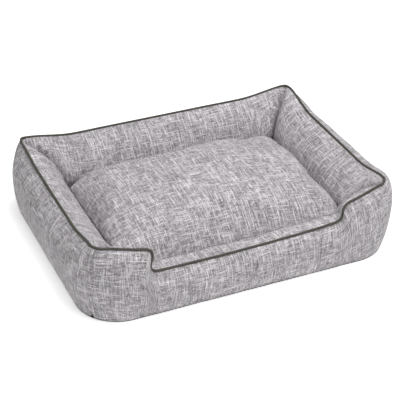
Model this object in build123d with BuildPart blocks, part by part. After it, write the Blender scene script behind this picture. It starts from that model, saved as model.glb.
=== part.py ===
"""Rectangular bolster pet bed with a loose, zipped cushion.

Four stuffed walls stand round a flat floor. Every wall is an inner and an outer fabric panel sewn together
along the top edge with a piping cord between them, and a bag of fibre fill inside. The front wall has a low
entry between two shoulders. The cushion lies in the well and lifts straight out; its cover closes with a
zip low on its rear side.

Millimetres. +X right, +Y to the back, +Z up, origin on the floor under the middle of the bed.
"""

import os
from math import copysign, cos, hypot, radians

from build123d import *

# ---------------------------------------------------------------- driving dimensions
PIPING_HALF_X, PIPING_HALF_Y = 400.0, 280.0  # top seam, corner to corner
BULGE_HALF_X, BULGE_HALF_Y, BULGE_R = 444.0, 334.0, 122.0  # fullest outline of the walls
FOOT_HALF_X, FOOT_HALF_Y, FOOT_R = 427.0, 320.0, 112.0  # outline where the walls meet the floor
WELL_X, WELL_BACK, WELL_FRONT = 320.0, 200.0, -240.0  # inner foot of the walls

EAR_Z = 208.0  # top seam at the four corners
BACK_Z, SIDE_Z = 188.0, 182.0  # top seam in the middle of the back and side walls
SHOULDER_Z = 180.0  # where each front shoulder ends
ENTRY_Z, ENTRY_END_Z = 118.0, 128.0  # low front edge, in the middle and at its ends
ENTRY_HALF = 256.0  # half the width of the entry
ENTRY_PROUD = 25.0  # the entry's edge stands forward of the corners

CLOTH = 1.5  # thickness of one layer of cover fabric
GAP = 0.5  # air between two layers, or between cloth and fill
PIPING_R, CORD_R = 3.0, 2.0
PIPING_STEPS = 96  # circles along half the piping
CORNER_R = 12.0  # bend of the piping at a corner
SEAM_DROP = PIPING_R + 1.4  # the panels stop this far under the middle of the piping
SEAM_HALF = 0.4  # half the slit between the two panels at the top seam

EAR_RUN = 95.0  # length of top seam over which an ear falls
FAN = 48.0  # length of inner edge over which the sections turn into a mitre
CORNER_SHARES = (0.0, 0.10, 0.22, 0.38, 0.58, 0.78, 1.0)  # where the turning sections stand
SHOULDER_END = ENTRY_HALF + 12.0  # the step down to the entry starts here
SQUARE_X = SHOULDER_END + 22.0  # from here to the middle the front sections stand square
SHOULDER_PROUD = 12.0  # the shoulders lean forward of the corners
ENTRY_STEP = (  # run past the shoulder's end, seam height, roll, stand forward, extra slit under the piping
    (-4.0, SHOULDER_Z - 3.0, 0.1, 14.0, 3.0),
    (2.0, SHOULDER_Z - 14.0, 0.3, 16.0, 8.0),
    (8.0, ENTRY_END_Z + 22.0, 0.6, 18.0, 10.0),
    (14.0, ENTRY_END_Z + 8.0, 0.85, 21.0, 7.5),
    (25.0, ENTRY_END_Z, 1.0, ENTRY_PROUD - 1.0, 1.0),
    (100.0, ENTRY_Z + 3.0, 1.0, ENTRY_PROUD, 0.0),
)
BULGE_LEVEL, SWELL_LEVEL = 0.60, 0.52  # fullest height of outer and inner panel, as a share of the seam's
LONG_RUN = 60.0  # greatest distance between two wall sections
INNER_SWELL = 4.0  # how far the inner panel swells into the well between corners
SHOULDER_REACH, SHOULDER_DIP = 0.5, 0.02  # outer panel just past the seam, as shares of its swell and height
FOOT_TUCK = 4.0  # how far the outer panel overhangs its own foot
ROLL_REACH, ROLL_DIP, ROLL_RISE = 0.6, 2.0, 10.0  # inner panel just past the seam; it rolls over at the entry
INNER_SHOULDER = 0.85  # height of the inner panel's bend, as a share of the seam's

FILL_TRIM = 0.14  # share of each curve, at the seam, that the fill leaves empty
TACK_R, TACK_L, TACK_LIFT = 0.8, 7.0, 0.4  # thread bars across the crease under each ear
TACK_SHARES = (0.10, 0.20)  # how far down the inner panel the two bars are

CUSHION_HALF_X, CUSHION_HALF_Y, CUSHION_Y = 315.0, 215.0, -20.0  # widest outline and its middle
CUSHION_SEAM_Z, CUSHION_TOP_Z = 78.0, 166.0
CUSHION_FOOT_Z = 2 * CLOTH + 2 * GAP + 0.3
FLANK_IN, FLANK_LOW, FLANK_HIGH = 14.0, 22.0, 58.0  # upright band under the seam, where the zip sits
CUSHION_TOP = (  # crown of the cushion: share of the rise, step in from the seam, corner radius
    (0.0, 0.0, 60.0),
    (0.34, 4.0, 60.0),
    (0.64, 26.0, 56.0),
    (0.86, 76.0, 50.0),
    (1.0, 145.0, 40.0),
)
CUSHION_HEM = 20.0  # how far the underside steps in from the flank
CUSHION_R, FLANK_R, HEM_R = 60.0, 56.0, 48.0  # corner radii of the lower half

ZIP_Z = 40.0  # height of the zip on the rear of the cushion
ZIP_HALF = 225.0  # half the length of the tooth rows
ZIP_SLOT = 4.0  # half the opening in the cloth
TAPE_T, TAPE_H = 1.2, 11.0
COIL_T, COIL_H = 1.6, 2.2
COIL_SLIT = 0.6  # half the slit between the two rows, where the slider's post runs
SLIDER_L, SLIDER_H, PLATE_T = 11.0, 7.0, 1.4
PLAY = 0.4  # air round the slider
PULL_L, PULL_H, PULL_T = 19.0, 5.0, 1.2
GRIP_R, GRIP_FROM_END = 1.5, 6.0  # hole near the free end of the pull
PIN_R, EYE_R = 0.7, 2.0
POST_L = 3.0  # the slider's post between its two plates
STOP_L = 3.0
TAPE_SPARE = 10.0  # tape beyond each end of the coils
SLOT_SPARE, RECESS_SPARE = 6.0, 14.0  # cloth slot and fill recess beyond the coils


# ---------------------------------------------------------------- wall sections
def reach(point, direction, half_x, half_y, radius):
    """Distance from a point inside a rounded rectangle to its outline, along a unit direction."""
    px, py = point
    dx, dy = direction
    to_side = [
        (half - p if d > 0 else half + p) / abs(d)
        for p, d, half in ((px, dx, half_x), (py, dy, half_y))
        if abs(d) > 1e-9
    ]
    straight = min(to_side)
    hit_x, hit_y = px + straight * dx, py + straight * dy
    if abs(hit_x) <= half_x - radius or abs(hit_y) <= half_y - radius:
        return straight
    cx = (half_x - radius) * (1 if hit_x > 0 else -1)
    cy = (half_y - radius) * (1 if hit_y > 0 else -1)
    along = (cx - px) * dx + (cy - py) * dy
    across = (cx - px) * dy - (cy - py) * dx
    return along + (radius**2 - across**2) ** 0.5


def ear(distance, low):
    """Height of the top seam at a distance from a corner: an ear that falls to the wall's own height."""
    share = min(distance / EAR_RUN, 1.0)
    return low + (EAR_Z - low) * (1 - share) ** 2 * (1 + 2 * share)


def is_corner(seam):
    return hypot(abs(seam[0]) - PIPING_HALF_X, abs(seam[1]) - PIPING_HALF_Y) < 1e-6


class Station:
    """One upright section of a wall: where it stands on the well's edge, and where the top seam crosses."""

    def __init__(self, inner, seam, height, roll=0.0, drop=SEAM_DROP):
        self.inner, self.edge, self.seam = inner, seam, seam
        self.height, self.roll, self.drop = height, roll, drop
        run = (seam[0] - inner[0], seam[1] - inner[1])
        self.to_seam = hypot(*run)
        self.out = (run[0] / self.to_seam, run[1] / self.to_seam)
        self.bulge = reach(inner, self.out, BULGE_HALF_X, BULGE_HALF_Y, BULGE_R)
        self.foot = reach(inner, self.out, FOOT_HALF_X, FOOT_HALF_Y, FOOT_R)
        self.is_mitre = is_corner(seam)
        if self.is_mitre:
            cut = CORNER_R * (1 - cos(radians(45)))
            self.seam = tuple(place - copysign(cut, place) for place in seam)
            self.to_seam = hypot(self.seam[0] - inner[0], self.seam[1] - inner[1])

    def shape(self):
        return self.height, self.roll, self.drop

    def plane(self):
        return Plane(
            origin=(self.inner[0], self.inner[1], 0),
            x_dir=(self.out[0], self.out[1], 0),
            z_dir=(self.out[1], -self.out[0], 0),
        )

    def outer_curve(self):
        """Control points of the outer panel, top seam to foot: two cubic curves that share a point."""
        top_z, full_z = self.height - self.drop, self.height * BULGE_LEVEL
        start = self.to_seam + SEAM_HALF
        swell = self.bulge - start
        full = (self.bulge, full_z)
        upper = [
            (start, top_z),
            (start + SHOULDER_REACH * swell, top_z - SHOULDER_DIP * self.height),
            (self.bulge, (full_z + top_z) / 2),
            full,
        ]
        lower = [
            full,
            (self.bulge, 0.55 * full_z),
            (self.foot + FOOT_TUCK, 0.12 * full_z),
            (self.foot, CLOTH + GAP),
        ]
        return upper, lower

    def inner_curve(self):
        """The same for the inner panel, on the well side."""
        top_z, full_z = self.height - self.drop, self.height * SWELL_LEVEL
        start = self.to_seam - SEAM_HALF
        swell = 0.0 if self.is_mitre else INNER_SWELL * (1 - self.roll)
        full = (-swell, full_z)
        upper = [
            (start, top_z),
            (ROLL_REACH * start, top_z - ROLL_DIP + ROLL_RISE * self.roll),
            (-swell, INNER_SHOULDER * self.height + ROLL_RISE * self.roll),
            full,
        ]
        lower = [full, (-swell, 0.62 * full_z), (0.0, 0.3 * full_z), (0.0, CLOTH + GAP)]
        return upper, lower


def inset(points, distance):
    """Control points of a cubic curve moved sideways by a distance, to the right of its run."""
    legs = [(b[0] - a[0], b[1] - a[1]) for a, b in zip(points, points[1:])]
    normals = [(dy / hypot(dx, dy), -dx / hypot(dx, dy)) for dx, dy in legs]
    moved = []
    for point, before, after in zip(points, normals[:1] + normals, normals + normals[-1:]):
        scale = distance / (1 + before[0] * after[0] + before[1] * after[1])
        moved.append((point[0] + scale * (before[0] + after[0]), point[1] + scale * (before[1] + after[1])))
    return moved


def trimmed(points, share):
    """The cubic curve without its first share."""
    kept = []
    row = list(points)
    while row:
        kept.insert(0, row[-1])
        row = [
            (a[0] + share * (b[0] - a[0]), a[1] + share * (b[1] - a[1])) for a, b in zip(row, row[1:])
        ]
    return kept


def along_wall(length_at_seam, length_at_well):
    """Pairs (seam, well) of positions from a corner to where the sections stand square to the wall."""
    return [(s * length_at_seam, s * length_at_well) for s in CORNER_SHARES]


def back_stations():
    half = []
    for at_seam, at_well in along_wall(PIPING_HALF_X - WELL_X + FAN, FAN):
        seam = (PIPING_HALF_X - at_seam, PIPING_HALF_Y)
        half.append(Station((WELL_X - at_well, WELL_BACK), seam, ear(at_seam, BACK_Z)))
    middle = [Station((0, WELL_BACK), (0, PIPING_HALF_Y), BACK_Z)]
    return half + middle + [mirrored(s) for s in reversed(half)]


def mirrored(station):
    (ix, iy), (sx, sy) = station.inner, station.edge
    return Station((-ix, iy), (-sx, sy), station.height, station.roll, station.drop)


def right_stations():
    """Right wall, front corner to back corner."""
    front, back = [], []
    for at_seam, at_well in along_wall(PIPING_HALF_Y + WELL_FRONT + FAN, FAN):
        seam = (PIPING_HALF_X, -PIPING_HALF_Y + at_seam)
        front.append(Station((WELL_X, WELL_FRONT + at_well), seam, ear(at_seam, SIDE_Z)))
    for at_seam, at_well in along_wall(PIPING_HALF_Y - WELL_BACK + FAN, FAN):
        seam = (PIPING_HALF_X, PIPING_HALF_Y - at_seam)
        back.append(Station((WELL_X, WELL_BACK - at_well), seam, ear(at_seam, SIDE_Z)))
    middle = [Station((WELL_X, 0), (PIPING_HALF_X, 0), SIDE_Z)]
    return front + middle + list(reversed(back))


def front_stations():
    """Front wall, right corner to left corner: shoulder, step down, low entry, step up, shoulder."""
    shoulder_run = PIPING_HALF_X - SQUARE_X
    half = []
    for at_seam, at_well in along_wall(shoulder_run, WELL_X - SQUARE_X):
        seam = (PIPING_HALF_X - at_seam, -PIPING_HALF_Y - SHOULDER_PROUD * at_seam / shoulder_run)
        half.append(Station((WELL_X - at_well, WELL_FRONT), seam, ear(at_seam, SHOULDER_Z)))
    for past, z, roll, proud, slit in ENTRY_STEP:
        x = SHOULDER_END - past
        half.append(Station((x, WELL_FRONT), (x, -PIPING_HALF_Y - proud), z, roll, SEAM_DROP + slit))
    middle = [Station((0, WELL_FRONT), (0, -PIPING_HALF_Y - ENTRY_PROUD), ENTRY_Z, 1.0)]
    return half + middle + [mirrored(s) for s in reversed(half)]


def halfway(one, other):
    inner = tuple((a + b) / 2 for a, b in zip(one.inner, other.inner))
    edge = tuple((a + b) / 2 for a, b in zip(one.edge, other.edge))
    height, roll, drop = ((a + b) / 2 for a, b in zip(one.shape(), other.shape()))
    return Station(inner, edge, height, roll, drop)


def spaced(stations):
    """The same wall with a section added halfway along every run longer than LONG_RUN."""
    dense = stations[:1]
    for station in stations[1:]:
        last = dense[-1]
        apart = hypot(station.edge[0] - last.edge[0], station.edge[1] - last.edge[1])
        dense += spaced([last, halfway(last, station), station])[1:] if apart > LONG_RUN else [station]
    return dense


BACK = spaced(back_stations())
RIGHT = spaced(right_stations())
LEFT = [mirrored(s) for s in RIGHT]
FRONT = spaced(front_stations())
WRAP = LEFT[:0:-1] + FRONT[:0:-1] + RIGHT


def draw_outline(first, second):
    """Closed outline between two runs of cubic curves."""
    for points in first + second:
        Bezier(*points)
    Line(first[0][0], second[0][0])
    Line(first[-1][-1], second[-1][-1])


def lofted(stations, outline):
    """Solid through the outlines that the sections give."""
    with BuildPart() as solid:
        for station in stations:
            first, second = outline(station)
            with BuildSketch(station.plane()):
                with BuildLine():
                    draw_outline(first, second)
                make_face()
        loft(ruled=True)
    return solid.part


def outer_skin(station):
    curves = station.outer_curve()
    return list(curves), [inset(points, CLOTH) for points in curves]


def inner_skin(station):
    curves = station.inner_curve()
    return list(curves), [inset(points, -CLOTH) for points in curves]


def stuffing(station):
    sides = []
    for curves, side in ((station.outer_curve(), 1), (station.inner_curve(), -1)):
        upper, lower = curves
        kept = [trimmed(upper, FILL_TRIM), lower]
        sides.append([inset(points, side * (CLOTH + GAP)) for points in kept])
    return sides


# ---------------------------------------------------------------- piping, floor cloths, tacks
def rod_along(path, radius):
    """Round rod through circles set square to the path."""
    with BuildPart() as rod:
        for step in range(PIPING_STEPS + 1):
            share = step / PIPING_STEPS
            run = path % share
            with BuildSketch(Plane(origin=path @ share, x_dir=run.cross(Vector(0, 0, 1)), z_dir=run)):
                Circle(radius)
        loft(ruled=True)
    return rod.part


def piping(radius, hollow=0.0):
    """Cord or tube along the top seam: the right half from mid front to mid back, and its mirror image."""
    front_half, back_half = FRONT[len(FRONT) // 2::-1], BACK[:len(BACK) // 2 + 1]
    stops = front_half[:-1] + RIGHT[:-1] + back_half
    path = Edge.make_spline([(*s.seam, s.height) for s in stops], tangents=((1, 0, 0), (-1, 0, 0)))
    with BuildPart() as half:
        add(rod_along(path, radius))
        if hollow:
            add(rod_along(path, hollow), mode=Mode.SUBTRACT)
        mirror(about=Plane.YZ)
    return half.part


def floor_cloths():
    with BuildPart() as bottom:
        with BuildSketch():
            RectangleRounded(2 * FOOT_HALF_X, 2 * FOOT_HALF_Y, FOOT_R)
        extrude(amount=CLOTH)
    with BuildPart() as deck:
        with BuildSketch(Plane.XY.offset(CLOTH + GAP)):
            with Locations((0, (WELL_BACK + WELL_FRONT) / 2)):
                Rectangle(2 * (WELL_X - GAP), WELL_BACK - WELL_FRONT - 2 * GAP)
        extrude(amount=CLOTH)
    return bottom.part, deck.part


def corner_tacks():
    """Two bars of thread across the crease under each ear."""
    corners = [BACK[0], BACK[-1], FRONT[0], FRONT[-1]]
    with BuildPart() as tacks:
        for station in corners:
            upper, _ = station.inner_curve()
            for share in TACK_SHARES:
                run, height = trimmed(inset(upper, TACK_R + TACK_LIFT), share)[0]
                with BuildSketch(station.plane().offset(-TACK_L / 2)):
                    with Locations((run, height)):
                        Circle(TACK_R)
                extrude(amount=TACK_L)
    return tacks.part


# ---------------------------------------------------------------- cushion
def pillow(sections, shrink):
    """Solid through rounded rectangles given as (height, inset, corner radius), all drawn in by shrink."""
    with BuildPart() as solid:
        for height, inset_by, radius in sections:
            with BuildSketch(Plane.XY.offset(height)):
                with Locations((0, CUSHION_Y)):
                    step = inset_by + shrink
                    RectangleRounded(2 * (CUSHION_HALF_X - step), 2 * (CUSHION_HALF_Y - step), radius)
        loft(ruled=True)
    return solid.part


def upper_sections(shrink):
    rise = CUSHION_TOP_Z - CUSHION_SEAM_Z
    return [(CUSHION_SEAM_Z + share * (rise - shrink), step, radius) for share, step, radius in CUSHION_TOP]


def lower_sections(shrink):
    return [
        (CUSHION_SEAM_Z, 0.0, CUSHION_R),
        (FLANK_HIGH, FLANK_IN, FLANK_R),
        (FLANK_LOW, FLANK_IN, FLANK_R),
        (CUSHION_FOOT_Z + shrink, FLANK_IN + CUSHION_HEM, HEM_R),
    ]


def zip_face():
    """Plane of the upright rear band: X along the zip, Y up, Z pointing away from the cushion."""
    rear = CUSHION_Y + CUSHION_HALF_Y - FLANK_IN
    return Plane(origin=(0, rear, ZIP_Z), x_dir=(-1, 0, 0), z_dir=(0, 1, 0))


def slab(plane, length, height, low, high, at=(0, 0)):
    """Box on a plane, from low to high along the plane's normal."""
    with BuildPart() as box:
        with BuildSketch(plane.offset(low)):
            with Locations(at):
                Rectangle(length, height)
        extrude(amount=high - low)
    return box.part


def cushion_top_panel():
    with BuildPart() as panel:
        add(pillow(upper_sections(0.0), 0.0))
        add(pillow(upper_sections(CLOTH), CLOTH), mode=Mode.SUBTRACT)
    return panel.part


def cushion_bottom_panel():
    with BuildPart() as panel:
        add(pillow(lower_sections(0.0), 0.0))
        add(pillow(lower_sections(CLOTH), CLOTH), mode=Mode.SUBTRACT)
        slot = slab(zip_face(), 2 * (ZIP_HALF + SLOT_SPARE), 2 * ZIP_SLOT, -2 * CLOTH, CLOTH)
        add(slot, mode=Mode.SUBTRACT)
    return panel.part


def cushion_fill():
    shrink = CLOTH + GAP
    depth = CLOTH + TAPE_T + PLATE_T + 3 * PLAY
    recess = slab(zip_face(), 2 * (ZIP_HALF + RECESS_SPARE), 2 * TAPE_H + 3.0, -depth, 0)
    with BuildPart() as fill:
        add(pillow(upper_sections(shrink), shrink))
        add(pillow(lower_sections(shrink), shrink))
        add(recess, mode=Mode.SUBTRACT)
    return fill.part


def zip_rows():
    """Tapes behind the cloth, coils on the tapes, and the stops at both ends of the coils."""
    face = zip_face()
    back = -CLOTH - TAPE_T
    with BuildPart() as tapes:
        for side in (1, -1):
            middle = side * (TAPE_H + COIL_SLIT) / 2
            length = 2 * (ZIP_HALF + TAPE_SPARE)
            add(slab(face, length, TAPE_H - COIL_SLIT, back, -CLOTH, at=(0, middle)))
    with BuildPart() as coils:
        for side in (1, -1):
            middle = side * (COIL_SLIT + COIL_H / 2)
            add(slab(face, 2 * ZIP_HALF, COIL_H, -CLOTH, COIL_T - CLOTH, at=(0, middle)))
    with BuildPart() as stops:
        for side in (1, -1):
            place = (side * (ZIP_HALF + STOP_L / 2), 0)
            add(slab(face, STOP_L, 2 * (COIL_SLIT + COIL_H), -CLOTH, COIL_T - CLOTH, at=place))
    return tapes.part, coils.part, stops.part


def slider_front():
    """Distance of the slider's outer plate from the zip face."""
    return COIL_T - CLOTH + PLAY


def slider_x():
    """Where the slider rests, measured along the zip face's X."""
    return -(ZIP_HALF - SLIDER_L / 2 - 1.0)


def pin_lift():
    return slider_front() + PLATE_T + EYE_R + PLAY


def zip_slider():
    face = zip_face()
    front, rear = slider_front(), -CLOTH - TAPE_T - PLAY
    x = slider_x()
    cheek = PULL_H / 2 + PLAY
    with BuildPart() as slider:
        add(slab(face, SLIDER_L, SLIDER_H, front, front + PLATE_T, at=(x, 0)))
        add(slab(face, SLIDER_L, SLIDER_H, rear - PLATE_T, rear, at=(x, 0)))
        add(slab(face, POST_L, COIL_SLIT, rear, front, at=(x, 0)))
        for side in (1, -1):
            place = (x, side * (cheek + PLATE_T / 2))
            add(slab(face, 2 * EYE_R, PLATE_T, front + PLATE_T, pin_lift() + PIN_R + 0.5, at=place))
        pin_end = Plane(origin=face.from_local_coords((x, -cheek, pin_lift())), z_dir=(0, 0, 1))
        with BuildSketch(pin_end):
            Circle(PIN_R)
        extrude(amount=2 * cheek)
    return slider.part


def zip_pull():
    face = zip_face()
    low_point = face.from_local_coords((slider_x(), -PULL_H / 2, pin_lift()))
    low_end = Plane(origin=low_point, x_dir=(-1, 0, 0), z_dir=(0, 0, 1))
    with BuildPart() as pull:
        with BuildSketch(low_end):
            Circle(EYE_R)
            with Locations(((PULL_L - EYE_R) / 2, 0)):
                Rectangle(PULL_L - EYE_R, PULL_T)
            Circle(PIN_R + PLAY, mode=Mode.SUBTRACT)
        extrude(amount=PULL_H)
        grip_point = face.from_local_coords((slider_x() + PULL_L - GRIP_FROM_END, 0, pin_lift()))
        with BuildSketch(Plane(origin=grip_point, z_dir=(0, 1, 0))):
            Circle(GRIP_R)
        extrude(amount=PULL_T, both=True, mode=Mode.SUBTRACT)
    return pull.part


# ---------------------------------------------------------------- write
def save(part, name):
    part.label = name
    export_step(part, f"parts/{name}.step")
    print(f"{name:24s} volume {part.volume:12.1f}  solids {len(part.solids())}  valid {part.is_valid}")


os.makedirs("parts", exist_ok=True)

save(lofted(WRAP, outer_skin), "outer_wrap_panel")
save(lofted(BACK, outer_skin), "outer_back_panel")
for name, stations in (("left", LEFT), ("right", RIGHT), ("back", BACK), ("front", FRONT)):
    save(lofted(stations, inner_skin), f"inner_{name}_panel")
    save(lofted(stations, stuffing), f"{name}_wall_fill")

bottom, deck = floor_cloths()
save(bottom, "bottom_panel")
save(deck, "deck_panel")
save(piping(PIPING_R, CORD_R + 0.2), "piping_cover")
save(piping(CORD_R), "piping_cord")
save(corner_tacks(), "corner_tacks")

tapes, coils, stops = zip_rows()
save(cushion_top_panel(), "cushion_top_panel")
save(cushion_bottom_panel(), "cushion_bottom_panel")
save(cushion_fill(), "cushion_fill")
save(tapes, "zip_tapes")
save(coils, "zip_coils")
save(stops, "zip_end_stops")
save(zip_slider(), "zip_slider")
save(zip_pull(), "zip_pull")
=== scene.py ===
"""Pet cushion bed: four stuffed walls with a piped top edge, a low front entry and a loose crowned cushion.

Everything is in metres, in the CAD frame: +X right, +Y to the back, +Z up, and the origin on the floor under
the middle. Each wall cover is a ring of sections, column by column round the bed, from top seam to foot.
"""

import math

import bmesh
import bpy
import numpy as np
from mathutils import Matrix, Vector, noise
from mathutils.bvhtree import BVHTree
from mathutils.kdtree import KDTree

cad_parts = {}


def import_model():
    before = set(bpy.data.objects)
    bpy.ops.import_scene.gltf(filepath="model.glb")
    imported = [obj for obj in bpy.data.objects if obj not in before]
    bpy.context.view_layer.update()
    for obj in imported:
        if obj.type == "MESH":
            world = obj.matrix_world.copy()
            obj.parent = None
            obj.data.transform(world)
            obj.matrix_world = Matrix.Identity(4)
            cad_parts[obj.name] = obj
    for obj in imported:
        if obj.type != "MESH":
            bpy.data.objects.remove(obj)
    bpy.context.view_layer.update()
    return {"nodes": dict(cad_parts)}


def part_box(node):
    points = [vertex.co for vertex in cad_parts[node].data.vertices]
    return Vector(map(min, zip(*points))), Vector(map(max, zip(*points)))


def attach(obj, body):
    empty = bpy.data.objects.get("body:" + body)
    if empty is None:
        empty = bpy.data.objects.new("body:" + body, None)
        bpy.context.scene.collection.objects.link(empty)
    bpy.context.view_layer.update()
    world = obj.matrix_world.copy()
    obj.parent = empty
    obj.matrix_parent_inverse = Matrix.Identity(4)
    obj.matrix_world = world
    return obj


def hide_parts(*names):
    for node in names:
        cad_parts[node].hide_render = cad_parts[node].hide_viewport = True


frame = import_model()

MM = 0.001
UP = np.array([0, 0, 1.0])

# ---------- sizes read from the CAD
piping_low, piping_high = (np.array(v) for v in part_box("piping_cover"))
PIPING_R = 3 * MM
HALF_X = piping_high[0] - PIPING_R  # the top seam, corner to corner
HALF_Y = piping_high[1] - PIPING_R
FRONT_Y = piping_low[1] + PIPING_R  # the entry's edge stands forward of the corners
EAR_Z = piping_high[2] - PIPING_R
BULGE_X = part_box("outer_wrap_panel")[1][0]
BULGE_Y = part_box("outer_back_panel")[1][1]
BULGE_R = 122 * MM  # corner radius of the outer cover where it is widest
FOOT_X, FOOT_Y, BASE_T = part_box("bottom_panel")[1]  # BASE_T is the thickness of the base cloth
FOOT_R = 112 * MM
DECK_GAP = 0.5 * MM  # between the deck's edge and the inner cover
deck_low, deck_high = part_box("deck_panel")
WELL_X = deck_high[0] + DECK_GAP
WELL_BACK = deck_high[1] + DECK_GAP
WELL_FRONT = deck_low[1] - DECK_GAP


# ---------- small helpers
def smooth(x):
    """0 below 0, 1 above 1, and a smooth rise between."""
    x = np.clip(x, 0, 1)
    return x * x * (3 - 2 * x)


def unit(rows):
    """Each row, brought to a length of 1."""
    return rows / np.linalg.norm(rows, axis=1, keepdims=True)


def blend(shares, *weights):
    """The first share, plus each further share times its weight."""
    total = shares[0]
    for share, weight in zip(shares[1:], weights):
        total = total + share * weight
    return total


def catmull(stops, steps):
    """Closed smooth curve through rows of numbers whose first three are a place.
    It is centripetal, so it never loops."""
    stops = np.asarray(stops, float)
    rows = []
    for i in range(len(stops)):
        p0, p1, p2, p3 = (stops[(i + k - 1) % len(stops)] for k in range(4))
        knots = [0.0]
        for a, b in ((p0, p1), (p1, p2), (p2, p3)):
            knots.append(knots[-1] + max(np.linalg.norm((b - a)[:3]), 1e-6) ** 0.5)
        t0, t1, t2, t3 = knots
        for t in np.linspace(t1, t2, steps, endpoint=False):
            a1 = (t1 - t) / (t1 - t0) * p0 + (t - t0) / (t1 - t0) * p1
            a2 = (t2 - t) / (t2 - t1) * p1 + (t - t1) / (t2 - t1) * p2
            a3 = (t3 - t) / (t3 - t2) * p2 + (t - t2) / (t3 - t2) * p3
            b1 = (t2 - t) / (t2 - t0) * a1 + (t - t0) / (t2 - t0) * a2
            b2 = (t3 - t) / (t3 - t1) * a2 + (t - t1) / (t3 - t1) * a3
            rows.append((t2 - t) / (t2 - t1) * b1 + (t - t1) / (t2 - t1) * b2)
    return np.array(rows)


def evenly(rows, step, corners):
    """A closed run of rows, resampled about step apart, with a row exactly at each corner."""
    rows = np.vstack([rows, rows[:1]])
    stops = [0, *corners, len(rows) - 1]
    pieces = []
    for first, last in zip(stops, stops[1:]):
        piece = rows[first : last + 1]
        along = np.concatenate([[0], np.cumsum(np.linalg.norm(np.diff(piece[:, :3], axis=0), axis=1))])
        at = np.linspace(0, along[-1], int(round(along[-1] / step)), endpoint=False)
        pieces.append(np.stack([np.interp(at, along, piece[:, k]) for k in range(piece.shape[1])], axis=1))
    return np.vstack(pieces)


def bezier(p, t):
    """Cubic curves: p is (columns, 4, 3), t is (rows,); gives (columns, rows, 3)."""
    t = t[None, :, None]
    a, b, c, d = (p[:, k, None, :] for k in range(4))
    return (1 - t) ** 3 * a + 3 * (1 - t) ** 2 * t * b + 3 * (1 - t) * t**2 * c + t**3 * d


def to_outline(start, direction, half_x, half_y, radius):
    """Distance from a place inside a rounded rectangle to its outline."""
    (px, py), (dx, dy) = start, direction
    sides = ((px, dx, half_x), (py, dy, half_y))
    hits = [((h if d > 0 else -h) - p) / d for p, d, h in sides if abs(d) > 1e-9]
    far = min(h for h in hits if h > 0)
    x, y = px + far * dx, py + far * dy
    if abs(x) <= half_x - radius or abs(y) <= half_y - radius:
        return far
    cx, cy = math.copysign(half_x - radius, x), math.copysign(half_y - radius, y)
    along = (cx - px) * dx + (cy - py) * dy
    across = (cx - px) * dy - (cy - py) * dx
    return along + math.sqrt(max(radius**2 - across**2, 0.0))


def grid_mesh(name, points, uv, closed=False):
    """Mesh of quads over points (columns, rows, 3), with uv (columns, rows, 2) in metres of cloth."""
    columns, rows = points.shape[:2]
    if closed:  # the last column of cloth meets the first, so its map needs a column of its own
        points = np.concatenate([points, points[:1]])
        columns += 1
    index = np.arange(columns * rows).reshape(columns, rows)
    quads = np.stack([index[:-1, :-1], index[1:, :-1], index[1:, 1:], index[:-1, 1:]], axis=-1).reshape(-1, 4)
    mesh = bpy.data.meshes.new(name)
    mesh.from_pydata(points.reshape(-1, 3).tolist(), [], quads.tolist())
    layer = mesh.uv_layers.new(name="cloth")
    layer.data.foreach_set("uv", uv.reshape(-1, 2)[quads.reshape(-1)].astype(np.float32).reshape(-1))
    if closed:
        weld(mesh)
    mesh.polygons.foreach_set("use_smooth", [True] * len(mesh.polygons))
    return put_in_scene(name, mesh)


def places_of(piece):
    """Places of a piece's points."""
    return np.array([v.co for v in piece.data.vertices])


def move_to(piece, places):
    """Moves a piece's points."""
    piece.data.vertices.foreach_set("co", np.asarray(places).reshape(-1))
    piece.data.update()


def put_in_scene(name, data):
    """A new object of the scene."""
    thing = bpy.data.objects.new(name, data)
    bpy.context.collection.objects.link(thing)
    return thing


def weld(mesh):
    """Joins the points that meet, such as the last column with the first."""
    edit = bmesh.new()
    edit.from_mesh(mesh)
    bmesh.ops.remove_doubles(edit, verts=edit.verts, dist=1e-6)
    bmesh.ops.dissolve_degenerate(edit, edges=edit.edges, dist=1e-7)
    edit.to_mesh(mesh)
    edit.free()


# ---------- top seam
EAR_RUN = 150 * MM
# heights of the seam away from the ears
BACK_RIGHT_Z, BACK_LEFT_Z = 191 * MM, 190 * MM
RIGHT_BACK_Z, RIGHT_Z = 182 * MM, 181 * MM
LEFT_Z, LEFT_FRONT_Z = 184 * MM, 185 * MM


def ear(distance, low, top=EAR_Z, run=EAR_RUN):
    """Height of the top seam near a corner: an ear that falls to the wall's own height."""
    share = min(distance / run, 1.0)
    return low + (top - low) * (1 - share) ** 2 * (1 + 2 * share)


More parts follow.
